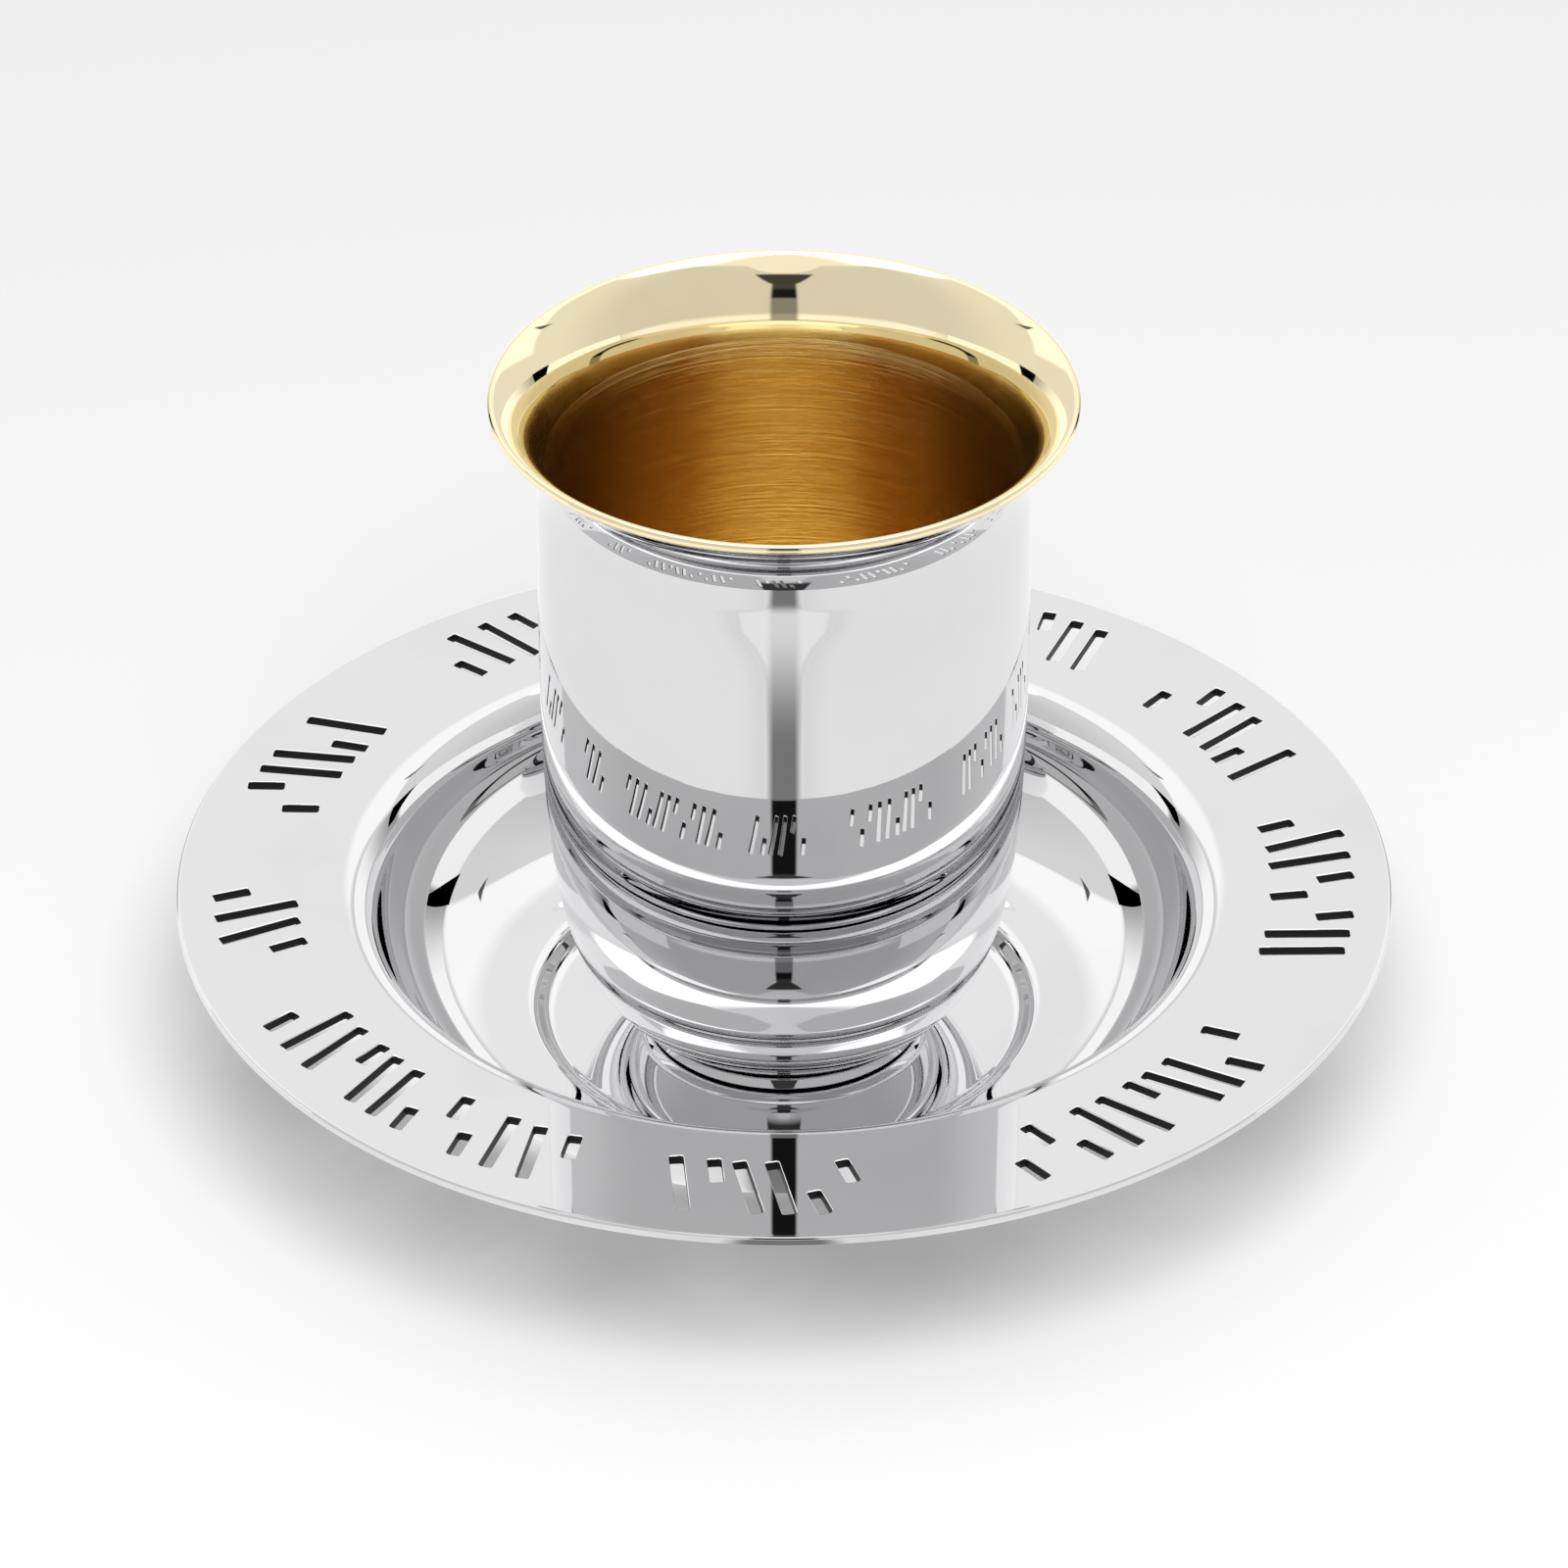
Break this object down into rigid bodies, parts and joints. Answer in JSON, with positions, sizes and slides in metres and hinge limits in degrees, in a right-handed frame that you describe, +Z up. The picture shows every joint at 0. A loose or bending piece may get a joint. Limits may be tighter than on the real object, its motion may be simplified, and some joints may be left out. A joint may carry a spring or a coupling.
{
  "type": "kiddush cup",
  "caption": "Footed silver wine cup with a gilded inside, standing in the round seat of a matching deep saucer with a flat pierced rim.",
  "frame": {"origin": "middle of the saucer's underside, where it meets the table", "axes": "+Z up along the axis of the cup and the saucer; -Y is the front; X to the right"},
  "size_m": [0.15, 0.15, 0.0905],
  "materials": {
    "cup_silver": "mirror-polished silver plate outside, gilded and brushed inside",
    "saucer_silver": "mirror-polished silver plate"
  },
  "bodies": {
    "root": {"cup": "cup_silver", "saucer": "saucer_silver"}
  },
  "joints": []
}
